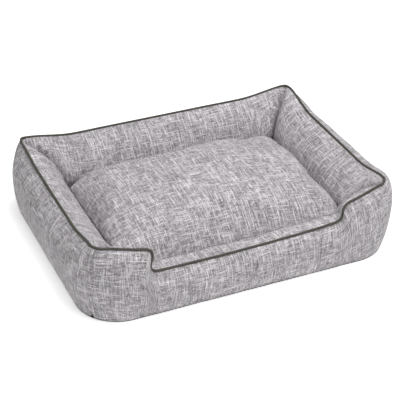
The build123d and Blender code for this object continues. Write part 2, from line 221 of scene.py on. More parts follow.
def seam_stops():
    """Stops of the top seam, from the middle of the back round by the right wall. Each is its place, and the
    place on the plain rectangle where its section of the wall stands."""
    stops = []

    def add(x, y, z, base_x=None, base_y=None):
        stops.append((x, y, z, x if base_x is None else base_x, y if base_y is None else base_y))

    spread = [0.016, 0.036, 0.062, 0.095, 0.135]  # distances of the stops from a corner
    long_run = [0.25, 0.4]
    # back wall, middle to right corner
    for d in long_run[::-1] + spread[::-1]:
        add(HALF_X - d, HALF_Y + 1 * MM, ear(d, BACK_RIGHT_Z), None, HALF_Y)
    add(HALF_X - 5 * MM, HALF_Y - 5 * MM, EAR_Z + 1 * MM, HALF_X, HALF_Y)
    for d in spread:
        lean = 2.5 * MM * smooth(d / 0.04)
        add(HALF_X + lean, HALF_Y - d, ear(d, RIGHT_BACK_Z), HALF_X, HALF_Y - d)
    for y in (80 * MM, 0.0, -80 * MM):
        add(HALF_X + 3 * MM, y, RIGHT_Z, HALF_X, y)
    for d in spread[::-1]:
        lean = 2 * MM * smooth(d / 0.04)
        add(HALF_X + lean, d - HALF_Y, ear(d, RIGHT_Z, EAR_Z - 5 * MM), HALF_X, d - HALF_Y)
    add(HALF_X - 4.5 * MM, 4.5 * MM - HALF_Y, EAR_Z - 4.5 * MM, HALF_X, -HALF_Y)
    # front wall: right shoulder, its step down, the low entry, the left step up, left shoulder
    for d in spread[:4]:
        y = -HALF_Y - 4 * MM - 120 * MM * d
        add(HALF_X - d, y, ear(d, RIGHT_Z, EAR_Z - 6 * MM, 0.11), HALF_X - d, y)
    right_base = (286, 279, 272, 265, 257, 245, 221)
    right_step = ((278, -301, 179), (265, -305, 172), (259, -308, 163), (259, -308, 153), (256, -308, 141))
    right_foot = ((246, -305, 131.5), (222, -305, 128))
    for base_x, (x, y, z) in zip(right_base, right_step + right_foot):
        add(x * MM, y * MM, z * MM, base_x * MM, y * MM)
    for x, z in ((160, 124), (60, 119.5), (-60, 117), (-160, 117)):
        add(x * MM, FRONT_Y, z * MM)
    left_base = (-225, -249, -261, -270, -277, -283, -288, -293)
    left_foot = ((-225, -305, 117.5), (-252, -304.5, 119), (-262, -304, 125), (-267, -308, 140))
    left_step = ((-264, -308, 154), (-261, -307, 167), (-262, -304, 177), (-269, -300, 182.5))
    for base_x, (x, y, z) in zip(left_base, left_foot + left_step):
        add(x * MM, y * MM, z * MM, base_x * MM, y * MM)
    for d in spread[:4][::-1]:
        y = -HALF_Y - 4 * MM - 110 * MM * d
        add(d - HALF_X, y, ear(d, LEFT_FRONT_Z, EAR_Z, 0.13), d - HALF_X, y)
    add(4 * MM - HALF_X, 4 * MM - HALF_Y, EAR_Z + 0.5 * MM, -HALF_X, -HALF_Y)
    # left wall, front to back, and the back wall's left half
    for d in spread:
        add(-HALF_X - 1 * MM, d - HALF_Y, ear(d, LEFT_Z), -HALF_X, d - HALF_Y)
    for y in (-80 * MM, 0.0, 80 * MM):
        add(-HALF_X - 0.5 * MM, y, LEFT_Z - 0.5 * MM, -HALF_X, y)
    for d in spread[::-1]:
        lean = 5 * MM * (1 - smooth(d / 0.09))
        add(-HALF_X - lean, HALF_Y - d, ear(d, LEFT_Z, EAR_Z, 0.12), -HALF_X, HALF_Y - d)
    add(-HALF_X + 1 * MM, HALF_Y, EAR_Z + 0.5 * MM, -HALF_X, HALF_Y)
    for d in spread + long_run[:1]:
        add(d - HALF_X, HALF_Y + 3 * MM, ear(d, BACK_LEFT_Z), None, HALF_Y)
    return stops


COLUMN_STEP = 5 * MM  # distance between columns along the seam
CURVE_STEPS = 10  # fine steps of the curve between two stops
stops = seam_stops()
is_corner = [abs(bx) == HALF_X and abs(by) == HALF_Y for *_, bx, by in stops]
corner_rows = [CURVE_STEPS * i for i, here in enumerate(is_corner) if here]
seam = evenly(catmull(stops, CURVE_STEPS), COLUMN_STEP, corner_rows)
SEAM = seam[:, :3]
BASE = seam[:, 3:5]  # where each section stands on the plain rectangle


# ---------- wall sections
FAN_SIDE, FAN_FRONT = 48 * MM, 30 * MM  # length of the well's edge that the sections near a corner share


def well_place(bx, by):
    """Where a section that stands at (bx, by) on the top rectangle starts, on the well's edge."""
    well_y = WELL_BACK if by > 0 else -WELL_FRONT
    near_x, near_y = HALF_X - abs(bx), HALF_Y - abs(by)
    if near_x < near_y:  # a side wall
        turn = HALF_Y - well_y + FAN_SIDE
        y = abs(by) if near_y > turn else well_y - near_y * FAN_SIDE / turn
        return math.copysign(WELL_X, bx), math.copysign(y, by)
    fan = FAN_SIDE if by > 0 else FAN_FRONT
    turn = HALF_X - WELL_X + fan
    x = abs(bx) if near_x > turn else WELL_X - near_x * fan / turn
    return math.copysign(x, bx), math.copysign(well_y, by)


WELL = np.array([well_place(bx, by) for bx, by in BASE])
OUT = unit(BASE - WELL)
BULGE = np.array([to_outline(w, o, BULGE_X, BULGE_Y, BULGE_R) for w, o in zip(WELL, OUT)])
FOOT = np.array([to_outline(w, o, FOOT_X, FOOT_Y, FOOT_R) for w, o in zip(WELL, OUT)])
# run of each section from the nearest corner
CORNER_D = np.hypot(HALF_X - abs(BASE[:, 0]), HALF_Y - np.minimum(abs(BASE[:, 1]), HALF_Y))
IS_FRONT = BASE[:, 1] < -HALF_Y + 1e-6
ENTRY_END, ENTRY_FADE = 272 * MM, 40 * MM
ENTRY = smooth((ENTRY_END - abs(BASE[:, 0])) / ENTRY_FADE) * IS_FRONT  # 1 along the low entry


def flat(xy, z):
    """Places (columns, 3) from plan places and heights."""
    return np.column_stack([xy, np.broadcast_to(z, len(xy))])


def out_by(distance):
    """Plan places at a distance out from the well's edge."""
    return WELL + OUT * np.reshape(distance, (-1, 1))


SIDE = flat(OUT, 0.0)  # unit direction out of the wall, level
TOP = SEAM[:, 2]
FLOOR_Z = BASE_T + 0.3 * MM  # the covers end just over the base cloth

STEP_X, STEP_WIDTH = 262 * MM, 26 * MM  # the steep part of the seam beside the entry
TIGHT = (np.exp(-(((abs(BASE[:, 0]) - STEP_X) / STEP_WIDTH) ** 2)) * IS_FRONT)[:, None]
PINCH = np.exp(-CORNER_D / (15 * MM))[:, None]  # 1 in the crease under each ear
CREASE = np.exp(-CORNER_D / (6 * MM))[:, None]
ROLL = ENTRY[:, None]  # the inner panel rolls over forward at the entry
UNDER_PIPING = 1.2 * MM  # the panels start inside the piping, this far under its middle

# The outer cover's shape: the share on a plain wall, what the step beside the entry adds, and what the full
# right wall adds.
REACH = (0.62, -0.50, 0.27)  # from the seam out to the shoulder, of the way to the widest place
DROP = (0.10, 0.15, -0.13)  # from the seam down to the shoulder, of the rise above the widest place
HANG = (0.52, -0.2, 0.3)  # how upright the cover leaves its widest place, of the same rise
OUTER_FULL, OUTER_LIFT = 0.575, 4 * MM  # height of the widest place: share of the seam's, and a lift
LOWER_HANG, TUCK_RISE, TUCK_OUT = 0.48, 0.10, 5 * MM  # below it, in to the foot
PLUMP_FROM_EAR, PLUMP_FROM_BACK = 90 * MM, 190 * MM  # the right wall fills out over these runs

# The inner cover's shape. A crease under an ear is a wide PINCH with a narrow CREASE in it.
INNER_FULL = 0.47  # height of its fullest place, as a share of the seam's
INNER_SWELL, SWELL_RUN = 3 * MM, 60 * MM
SWELL_DRAWN = (0, 8, 14)  # mm that PINCH and CREASE draw it back
BESIDE, BESIDE_WIDTH = 38 * MM, 26 * MM  # the filling swells this far beside each crease
INNER_REACH = (0.36, 0.24, -0.16)  # from the seam in to the shoulder: plain, ROLL, CREASE
INNER_LIFT = (2, 5, 5)  # mm that the shoulder stands over the seam: plain, ROLL, beside a crease
INNER_SINK = (0, 0.11, 0.17)  # and the share of the seam's height that PINCH and CREASE take off
BEND_UP = (0.33, 0.22, -0.14)  # share of the seam's height up to its bend: plain, ROLL, PINCH
BEND_OUT = (4, -4, 14, 22, -5)  # mm outward there: plain, ROLL, PINCH, CREASE, beside a crease
INNER_HANG, INNER_RISE = 0.4, 0.3  # below the fullest place, down to the foot


def seam_side(lift):
    """Where a panel starts: just off the middle of the piping, square to its run, on one side."""
    ahead = unit(np.roll(SEAM, -1, axis=0) - np.roll(SEAM, 1, axis=0))
    down = -UP + ahead * ahead[:, 2:3]
    down[:, 0] = np.where(TIGHT[:, 0] > 0.1, np.copysign(down[:, 0], SEAM[:, 0]), down[:, 0])
    return SEAM + unit(down) * lift


def outer_points(rows):
    """Sections of the outer cover, from the piping out to the widest place and in to the foot."""
    full_z = TOP * OUTER_FULL + OUTER_LIFT
    swell = (BULGE - np.einsum("ij,ij->i", SEAM[:, :2] - WELL, OUT))[:, None]
    start = seam_side(UNDER_PIPING)
    full = flat(out_by(BULGE), full_z)
    rise = (TOP - full_z)[:, None]
    from_back = smooth((HALF_Y - BASE[:, 1]) / PLUMP_FROM_BACK)
    on_right = BASE[:, 0] > HALF_X - 1 * MM
    plump = (smooth(CORNER_D / PLUMP_FROM_EAR) * from_back * on_right)[:, None]
    reach, drop, hang = (blend(shares, TIGHT, plump) for shares in (REACH, DROP, HANG))
    shoulder = start + SIDE * reach * swell - UP * drop * rise
    shoulder += flat(BASE - SEAM[:, :2], 0.0) * TIGHT
    upper = np.stack([start, shoulder, full + UP * hang * rise, full], axis=1)
    foot = flat(out_by(FOOT), FLOOR_Z)
    tuck = foot + SIDE * TUCK_OUT + UP * TUCK_RISE * full_z[:, None]
    lower = np.stack([full, full - UP * LOWER_HANG * full_z[:, None], tuck, foot], axis=1)
    t = np.linspace(0, 1, rows // 2 + 1)
    return np.concatenate([bezier(upper, t**1.3)[:, :-1], bezier(lower, t)], axis=1)


def inner_points(rows):
    """Sections of the inner cover: over the filling, down to the well, with a crease at each corner."""
    beside = np.exp(-(((CORNER_D - BESIDE) / BESIDE_WIDTH) ** 2))[:, None]
    swell = (INNER_SWELL * smooth(CORNER_D / SWELL_RUN) * (1 - ENTRY))[:, None]
    swell -= blend(SWELL_DRAWN, PINCH, CREASE) * MM
    full_z = (TOP * INNER_FULL)[:, None]
    tall = TOP[:, None]
    start = seam_side(UNDER_PIPING)
    inward = flat(WELL, 0.0) - flat(SEAM[:, :2], 0.0)
    full = flat(WELL, full_z[:, 0]) - SIDE * swell
    shoulder = start + inward * blend(INNER_REACH, ROLL, CREASE)
    shoulder += UP * (blend(INNER_LIFT, ROLL, beside) * MM - blend(INNER_SINK, PINCH, CREASE) * tall)
    bend = full + UP * tall * blend(BEND_UP, ROLL, PINCH)
    bend += SIDE * blend(BEND_OUT, ROLL, PINCH, CREASE, beside) * MM
    upper = np.stack([start, shoulder, bend, full], axis=1)
    foot = flat(WELL, FLOOR_Z)
    hang, rise = UP * INNER_HANG * full_z, UP * INNER_RISE * full_z
    lower = np.stack([full, full - hang, foot + rise, foot], axis=1)
    top_rows = rows * 2 // 3
    t1, t2 = np.linspace(0, 1, top_rows + 1), np.linspace(0, 1, rows - top_rows + 1)
    return np.concatenate([bezier(upper, t1)[:, :-1], bezier(lower, t2)], axis=1)


def cloth_run(points, row):
    """Distance round the ring at one row, from the first column."""
    ring = points[:, row]
    steps = np.linalg.norm(np.roll(ring, -1, axis=0) - ring, axis=1)
    return np.concatenate([[0], np.cumsum(steps)])


def down_run(points):
    """Distance down each section."""
    steps = np.linalg.norm(np.diff(points, axis=1), axis=2)
    return np.concatenate([np.zeros((len(points), 1)), np.cumsum(steps, axis=1)], axis=1)


DART = np.array([-397, -260]) * MM  # a short pinch low on the front left corner
DART_TALL, DART_DEEP = 46 * MM, 11 * MM
SEAM_WIDE, SEAM_DEEP = 5 * MM, 1.6 * MM  # upright seams between the wrap and the back panel
SEAM_ZONE = 60 * MM  # they are at the back corners only
HEM_Z, HEM_WIDE, HEM_DEEP = 9 * MM, 2.2 * MM, 1.8 * MM  # stitched line just over the foot


def pinched(points):
    """The outer cover with its dart, its two upright seams and a hem line drawn in."""
    level = SIDE[:, None] * np.ones((1, points.shape[1], 1))
    apart = np.linalg.norm(points[:, -6, :2] - DART, axis=1)
    dart = DART_DEEP * (apart == apart.min())[:, None] * smooth(1.2 - points[:, :, 2] / DART_TALL)
    run = CORNER_D[:, None] + 10 * (BASE[:, 1] < HALF_Y - SEAM_ZONE)[:, None]
    upright = SEAM_DEEP * np.exp(-((run / SEAM_WIDE) ** 2)) * np.ones(points.shape[:2])
    hem = HEM_DEEP * np.exp(-(((points[:, :, 2] - HEM_Z) / HEM_WIDE) ** 2))
    return points - level * (dart + upright + hem)[:, :, None]


ROWS = 36  # quads from the top seam to the foot
outer = pinched(outer_points(ROWS))
inner = inner_points(ROWS)

run = cloth_run(outer, ROWS // 2)
down = down_run(outer)
down = np.vstack([down, down[:1]])
outer_uv = np.stack([np.repeat(run[:, None], down.shape[1], axis=1), down], axis=-1)
walls = grid_mesh("outer_cover", outer, outer_uv, closed=True)

down = down_run(inner)
on_side = (HALF_X - abs(BASE[:, 0]) < HALF_Y - abs(BASE[:, 1]))[:, None]
across = np.where(on_side, inner[:, :, 1], inner[:, :, 0])
inner_uv = np.stack([across, down], axis=-1)
inner_uv = np.vstack([inner_uv, inner_uv[:1]])
lining = grid_mesh("inner_cover", inner, inner_uv, closed=True)
lining.data.flip_normals()


def circle_round(line, first, second, radius, turn):
    """Rings of places round a line, in the plane of two unit vectors."""
    around = np.cos(turn)[None, :, None] * first[:, None] + np.sin(turn)[None, :, None] * second[:, None]
    return line[:, None] + radius * around


def square_to(ahead, other):
    """Two unit vectors square to each direction ahead, the first of them square to the other one too."""
    first = unit(np.cross(ahead, other))
    return first, np.cross(first, ahead)


def tube(name, line, radius, sides=10):
    """Closed round tube along a closed line."""
    ahead = unit(np.roll(line, -1, axis=0) - np.roll(line, 1, axis=0))
    turn = np.linspace(0, 2 * math.pi, sides + 1)
    ring = circle_round(line, *square_to(ahead, UP), radius, turn)
    along = cloth_run(ring, 0)
    uv = np.stack(np.meshgrid(along, turn * radius, indexing="ij"), axis=-1)
    return grid_mesh(name, ring, uv, closed=True)


TAPE_SPARE = 0.4 * MM  # the tape lies a little proud of the CAD cord, over both panels' edges
piping = tube("piping", SEAM, PIPING_R + TAPE_SPARE)


# ---------- cloth
def lumps(place, period, seed):
    """Smooth unevenness of stuffing, from about -1 to 1."""
    return noise.noise(Vector(place) / period + Vector((seed, 2 * seed, 3 * seed)))


def unevenness(piece, height, period, seed, weight):
    """Pushes a piece's surface in and out along its normals, by a height times a weight for each point."""
    normals = np.array([v.normal for v in piece.data.vertices])
    places = places_of(piece)
    lift = np.array([lumps(place, period, seed) for place in places]) * height * weight
    move_to(piece, places + normals * lift[:, None])


def simulate(piece, held, pressure, spare, most, frames=20, quality=5):
    """Cloth simulation: pressure from inside, cloth cut a little larger than its shape, and held points.
    Each point then keeps only its move along its normal, so that the cloth map isn't smeared. The most that
    it moves may be one number or a number for each point."""
    rest = places_of(piece)
    group = piece.vertex_groups.new(name="held")
    for share in np.unique(held):
        group.add([int(i) for i in np.flatnonzero(held == share)], float(share), "REPLACE")
    modifier = piece.modifiers.new("cloth", "CLOTH")
    settings = modifier.settings
    settings.quality = quality
    settings.mass = 0.25
    settings.tension_stiffness = 20
    settings.compression_stiffness = 20
    settings.shear_stiffness = 6
    settings.bending_stiffness = 0.8
    settings.vertex_group_mass = "held"
    settings.use_pressure = True
    settings.uniform_pressure_force = pressure
    settings.shrink_min = -spare
    settings.effector_weights.gravity = 0
    modifier.collision_settings.use_collision = False
    modifier.point_cache.frame_start = 1
    modifier.point_cache.frame_end = frames
    for step in range(1, frames + 1):
        bpy.context.scene.frame_set(step)
    graph = bpy.context.evaluated_depsgraph_get()
    moved = places_of(piece.evaluated_get(graph))
    piece.modifiers.remove(modifier)
    piece.vertex_groups.remove(group)
    bpy.context.scene.frame_set(1)
    normals = np.array([v.normal for v in piece.data.vertices])
    swell = np.einsum("ij,ij->i", moved - rest, normals)
    swell = most * np.tanh(swell / most)
    move_to(piece, rest + normals * swell[:, None])


def keep_off(piece, other, gap, above=0.0):
    """Moves a piece's points out of another's surface, whose normals point to the free side."""
    tree = surface_of(other)
    places = [v.co.copy() for v in piece.data.vertices]
    for place in places:
        if place.z < above:
            continue
        near, normal, _, _ = tree.find_nearest(place, 60 * MM)
        if near is None:
            continue
        off = (place - near).dot(normal)
        if off < gap:
            place += normal * (gap - off)
    move_to(piece, places)


WELL_SPARE = 1 * MM  # the most that a panel may stand into the well, low down
WELL_OPEN, WELL_OPEN_Z, WELL_OPEN_RISE = 40 * MM, 84 * MM, 36 * MM  # higher up it may stand in further


def clear_well(piece):
    """Keeps a piece out of the well, so that the cushion lifts out freely and the zip's pull can swing."""
    places = places_of(piece)
    x, y, z = places.T
    allowed = WELL_SPARE + WELL_OPEN * smooth((z - WELL_OPEN_Z) / WELL_OPEN_RISE)
    to_side, to_back, to_front = WELL_X - abs(x), WELL_BACK - y, y - WELL_FRONT
    inside = np.minimum(to_side, np.minimum(to_back, to_front))
    push = np.clip(inside - allowed, 0, None)
    places[:, 0] += np.where(inside == to_side, np.sign(x) * push, 0)
    places[:, 1] += np.where(inside == to_side, 0, np.where(inside == to_back, push, -push))
    move_to(piece, places)


def surface_of(piece):
    """Search tree of a piece's faces."""
    mesh = piece.data
    places = [v.co.copy() for v in mesh.vertices]
    return BVHTree.FromPolygons(places, [list(q.vertices) for q in mesh.polygons])


def wall_hold(piece, points):
    """1 on the points at the top seam and at the foot, and 0 between them."""
    tree = KDTree(len(piece.data.vertices))
    for vertex in piece.data.vertices:
        tree.insert(vertex.co, vertex.index)
    tree.balance()
    held = np.zeros(len(piece.data.vertices))
    for row in (0, 1, ROWS - 1, ROWS):
        for place in points[:, row]:
            held[tree.find(Vector(place))[1]] = 1
    return held


WALL_LUMP, WALL_PERIOD = 2.4 * MM, 0.13  # height and spacing of the stuffing's unevenness
CALM_RUN, CALM_LEAST = 90 * MM, 0.15  # there is little of it under the ears
CALM_RISE = 0.05  # and it fades out towards the floor
for cover, points, seed in ((walls, outer, 1.0), (lining, inner, 2.0)):
    held = wall_hold(cover, points)
    places = places_of(cover)
    from_ear = np.hypot(HALF_X - abs(places[:, 0]), HALF_Y - abs(places[:, 1]))
    calm = CALM_LEAST + (1 - CALM_LEAST) * smooth(from_ear / CALM_RUN)
    off_floor = np.minimum(1, places[:, 2] / CALM_RISE)
    unevenness(cover, WALL_LUMP, WALL_PERIOD, seed, (1 - held) * off_floor * calm)
    simulate(cover, held, pressure=3, spare=0.012, most=3 * MM * calm, frames=10, quality=3)
clear_well(lining)


# ---------- tacks under the ears
def thread(name, runs, radius, sides=7, steps=9):
    """Short arcs of thread: runs are (start, top, end) places; the ends go into the cloth."""
    turn = np.linspace(0, 2 * math.pi, sides, endpoint=False)
    places, faces = [], []
    for start, top, end in runs:
        t = np.linspace(0, 1, steps)[:, None]
        line = (1 - t) ** 2 * start + 2 * (1 - t) * t * top + t**2 * end
        ahead = unit(np.gradient(line, axis=0))
        wide = radius * (1 - 0.5 * abs(2 * t - 1) ** 3)  # it thins towards its ends
        ring = circle_round(line, *square_to(ahead, UP), wide[:, None], turn)
        base = len(places)
        places += ring.reshape(-1, 3).tolist()
        for i in range(steps - 1):
            for j in range(sides):
                here, k = base + i * sides, (j + 1) % sides
                faces.append([here + j, here + k, here + sides + k, here + sides + j])
        faces.append([base + j for j in range(sides)][::-1])
        faces.append([base + (steps - 1) * sides + j for j in range(sides)])
    mesh = bpy.data.meshes.new(name)
    mesh.from_pydata(places, [], faces)
    mesh.polygons.foreach_set("use_smooth", [True] * len(mesh.polygons))
    return put_in_scene(name, mesh)


TACK_ROWS = (2, 4)  # rows of the inner cover, counted from the seam
TACK_HALF, TACK_LEAN, TACK_BOW, TACK_R = 6 * MM, 3 * MM, 3.5 * MM, 1.0 * MM
TACK_SINK = 0.6 * MM  # the ends go this deep into the cloth


def tack_runs():
    """Crossed bars over the crease just under each ear."""
    tree = surface_of(lining)
    runs = []
    for corner in np.flatnonzero(CORNER_D < 1e-6):
        for row in TACK_ROWS:
            middle = inner[corner, row]
            into = flat(-OUT[[corner]], 0.0)[0]
            along = np.cross(UP, into)
            for lean in (-1, 1):
                ends = []
                for side in (-1, 1):
                    place = Vector(middle + along * side * TACK_HALF + UP * lean * side * TACK_LEAN)
                    near, normal, _, _ = tree.find_nearest(place)
                    ends.append(np.array(near - normal * TACK_SINK))
                top = (ends[0] + ends[1]) / 2 + (UP + into) * TACK_BOW
                runs.append((ends[0], top, ends[1]))
    return runs


tacks = thread("corner_tacks", tack_runs(), TACK_R)


# ---------- cushion
top_low, top_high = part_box("cushion_top_panel")
zip_low, zip_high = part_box("zip_coils")
CUSHION_MID_Y = (top_low[1] + top_high[1]) / 2
CUSHION_X = top_high[0]
CUSHION_Y = top_high[1] - CUSHION_MID_Y
SEAM_Z = top_low[2]  # the seam between the two cover panels
CROWN_Z = top_high[2] + 3 * MM
FOOT_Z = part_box("cushion_bottom_panel")[0][2]
ZIP_Z = (zip_low[2] + zip_high[2]) / 2
GROOVE_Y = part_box("zip_slider")[0][1] - 0.6 * MM  # floor of the groove that the zip lies in
GROOVE_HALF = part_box("zip_end_stops")[1][0] + 3 * MM
FLANK = 14 * MM  # the upright band stands this far inside the seam
CORNER = 56 * MM  # corner radius in plan
ACROSS_DOME, BACK_DOME, FRONT_DOME = (2.5, 3.0), (2.6, 3.2), (2.1, 2.3)  # powers of the crown's sections
BELLY, BELLY_TOP = 7 * MM, 0.55  # the sides swell out, up to this share of the crown's height
UNDER_LIFT, UNDER_SPARE = 0.3 * MM, 0.4 * MM  # the flat underside lies this far over the CAD's foot


def rounded(a, b, half_x, half_y, radius):
    """Plan places for grid shares a, b from -1 to 1: a rectangle with round corners."""
    x, y = a * half_x, b * half_y
    over_x = np.clip(abs(x) - (half_x - radius), 0, None)
    over_y = np.clip(abs(y) - (half_y - radius), 0, None)
    cut_x = over_x * (1 - np.sqrt(1 - over_y**2 / (2 * radius**2)))
    cut_y = over_y * (1 - np.sqrt(1 - over_x**2 / (2 * radius**2)))
    return x - np.sign(x) * cut_x, y - np.sign(y) * cut_y


def dome(share, powers):
    """Share of the height along a section: 1 in the middle and 0 at both ends."""
    inside, outside = powers
    return (1 - abs(share) ** inside) ** (1 / outside)


def rise_across(a):
    """Share of the crown's height over the cushion's length, with full sides."""
    return dome(a, ACROSS_DOME)


def rise_along(b):
    """The same from front to back: full at the back, and gently domed at the front."""
    return np.where(b > 0, dome(b, BACK_DOME), dome(b, FRONT_DOME))


def even_shares(rise, half, count):
    """Shares from -1 to 1 that stand evenly along the curve of a section, and their distance along it."""
    turn = np.linspace(-math.pi / 2, math.pi / 2, 4001)
    fine = np.sign(turn) * (1 - (1 - abs(np.sin(turn))) ** 2)
    fine = np.sort(fine)
    height = (CROWN_Z - SEAM_Z) * rise(fine)
    along = np.concatenate([[0], np.cumsum(np.hypot(np.diff(fine) * half, np.diff(height)))])
    at = np.linspace(0, along[-1], count)
    return np.interp(at, along, fine), at - along[-1] / 2


def cushion_top_points(columns, rows):
    """Grid of places over the crown, and its cloth map."""
    share_a, u = even_shares(rise_across, CUSHION_X, columns)
    share_b, v = even_shares(rise_along, CUSHION_Y, rows)
    a, b = np.meshgrid(share_a, share_b, indexing="ij")
    rise = rise_across(a) * rise_along(b)
    belly = BELLY * np.sin(np.clip(rise / BELLY_TOP, 0, 1) * math.pi)  # fullest a little above the seam
    x, y = rounded(a, b, CUSHION_X, CUSHION_Y, CORNER)
    edge = np.maximum(abs(a), abs(b)) ** 6
    x += np.sign(x) * belly * edge * abs(a) ** 4
    y += np.sign(y) * belly * edge * abs(b) ** 4
    z = SEAM_Z + (CROWN_Z - SEAM_Z) * rise
    points = np.stack([x, y + CUSHION_MID_Y, z], axis=-1)
    return points, np.stack(np.meshgrid(u, v, indexing="ij"), axis=-1)


def cushion_low_points(ring, rows):
    """Flank and underside: closed rings, from the seam's ring to a point under the middle. Each row tells a
    ring's share of the seam's size, its height, how far it is drawn in to the flank, and how far it sinks to
    the floor of the zip's groove."""
    centre = np.array([0, CUSHION_MID_Y])
    out = ring[:, :2] - centre
    inset = FLANK / np.array([CUSHION_X, CUSHION_Y])
    stations = []
    at_zip = (ring[:, 1] > CUSHION_MID_Y) & (abs(ring[:, 0]) < GROOVE_HALF)
    for share, z, drawn, sunk in rows:
        plan = centre + out * (1 - inset * drawn) * share
        plan[:, 1] += np.where(at_zip, sunk * (GROOVE_Y - plan[:, 1]), 0.0)
        stations.append(np.column_stack([plan, np.full(len(plan), z)]))
    return np.stack(stations, axis=1)


TOP_COLUMNS, TOP_ROWS = 124, 92
top_points, top_uv = cushion_top_points(TOP_COLUMNS, TOP_ROWS)
ring_index = (
    [(i, 0) for i in range(TOP_COLUMNS - 1)]
    + [(TOP_COLUMNS - 1, j) for j in range(TOP_ROWS - 1)]
    + [(i, TOP_ROWS - 1) for i in range(TOP_COLUMNS - 1, 0, -1)]
    + [(0, j) for j in range(TOP_ROWS - 1, 0, -1)]
)
seam_ring = np.array([top_points[i, j] for i, j in ring_index])
under_seam = ((0, 0), (3, 0.06), (8, 0.35), (14, 0.8))
groove = ((4.3, 0.3), (4.1, 1), (0, 1), (-4.1, 1), (-4.3, 0.3))
round_edge = ((0.99, 8), (0.975, 3), (0.95, 0.8))
underside_shares = (0.91, 0.86, 0.78, 0.68, 0.56, 0.42, 0.28, 0.14, 0.0)
low_rows = [(1, SEAM_Z - dz * MM, drawn, 0) for dz, drawn in under_seam]
low_rows += [(1, ZIP_Z + dz * MM, 1, 0) for dz in (19, 15, 11, 8, 6, 5, 4.5)]
low_rows += [(1, ZIP_Z + dz * MM, 1, sunk) for dz, sunk in groove]
low_rows += [(1, ZIP_Z - dz * MM, 1, 0) for dz in (4.5, 5, 6, 8, 11, 15, 20)]
low_rows += [(share, FOOT_Z + dz * MM, 1, 0) for share, dz in round_edge]
low_rows += [(share, FOOT_Z + UNDER_LIFT, 1, 0) for share in underside_shares]
low = cushion_low_points(seam_ring, low_rows)
low_run = cloth_run(low, 6)
no_groove = [(*row[:3], 0) for row in low_rows]  # the cloth map runs on as if there were no groove
low_down = down_run(cushion_low_points(seam_ring, no_groove))
low_uv = np.stack([np.repeat(low_run[:-1, None], low.shape[1], axis=1), low_down], axis=-1)
low_uv = np.vstack([low_uv, low_uv[:1] + [low_run[-1], 0]])
cushion_top = grid_mesh("cushion_top", top_points, top_uv)
cushion_low = grid_mesh("cushion_underside", low, low_uv, closed=True)
cushion_low.data.flip_normals()
cloth_map = cushion_low.data.uv_layers["cloth"].data
for face in cushion_low.data.polygons:  # the flat underside is cut from one straight piece of cloth
    if face.center.z < FOOT_Z + UNDER_LIFT + UNDER_SPARE:
        for loop in face.loop_indices:
            corner = cushion_low.data.loops[loop].vertex_index
            cloth_map[loop].uv = cushion_low.data.vertices[corner].co.xy

CROWN_LUMP, CROWN_PERIOD, CROWN_RISE = 5 * MM, 0.15, 0.04  # unevenness, which grows up from the seam
WALL_GAP, WALL_GAP_FROM = 5 * MM, 4 * MM  # least gap to the walls, and how far above the seam it starts
height = places_of(cushion_top)[:, 2] - SEAM_Z
unevenness(cushion_top, CROWN_LUMP, CROWN_PERIOD, 4.0, np.minimum(1, height / CROWN_RISE))
simulate(cushion_top, np.where(height < 1e-6, 1.0, 0.0), pressure=4, spare=0.02, most=10 * MM)
keep_off(cushion_top, lining, WALL_GAP, SEAM_Z + WALL_GAP_FROM)


# ---------- zip
COIL_TURNS, COIL_WIRE, COIL_GAP = 420, 0.42 * MM, 0.15 * MM
COIL_SQUARE = 0.6  # below 1, the turns are squarer than a round helix
zip_step = (zip_high[2] - zip_low[2]) / 4  # from the zip's middle to each row's


def coil(name, z, hand, steps=9, sides=5):
    """One row of the zip: a flattened helix of nylon wire between the box's front and back."""
    half_z = zip_step - COIL_GAP
    half_y = (zip_high[1] - zip_low[1]) / 2 - COIL_WIRE
    middle_y = (zip_high[1] + zip_low[1]) / 2
    turn = np.linspace(0, 2 * math.pi * COIL_TURNS, COIL_TURNS * steps + 1)
    x = np.linspace(zip_low[0], zip_high[0], len(turn))
    squarer = np.sign(np.sin(turn)) * abs(np.sin(turn)) ** COIL_SQUARE
    line = np.column_stack([x, middle_y + half_y * np.cos(turn), z + hand * (half_z - COIL_WIRE) * squarer])
    axes = square_to(unit(np.gradient(line, axis=0)), [1.0, 0, 0])
    ring = circle_round(line, *axes, COIL_WIRE, np.linspace(0, 2 * math.pi, sides + 1))
    return grid_mesh(name, ring, np.zeros(ring.shape[:2] + (2,)))


coils = [coil("zip_coil_upper", ZIP_Z + zip_step, -1), coil("zip_coil_lower", ZIP_Z - zip_step, 1)]


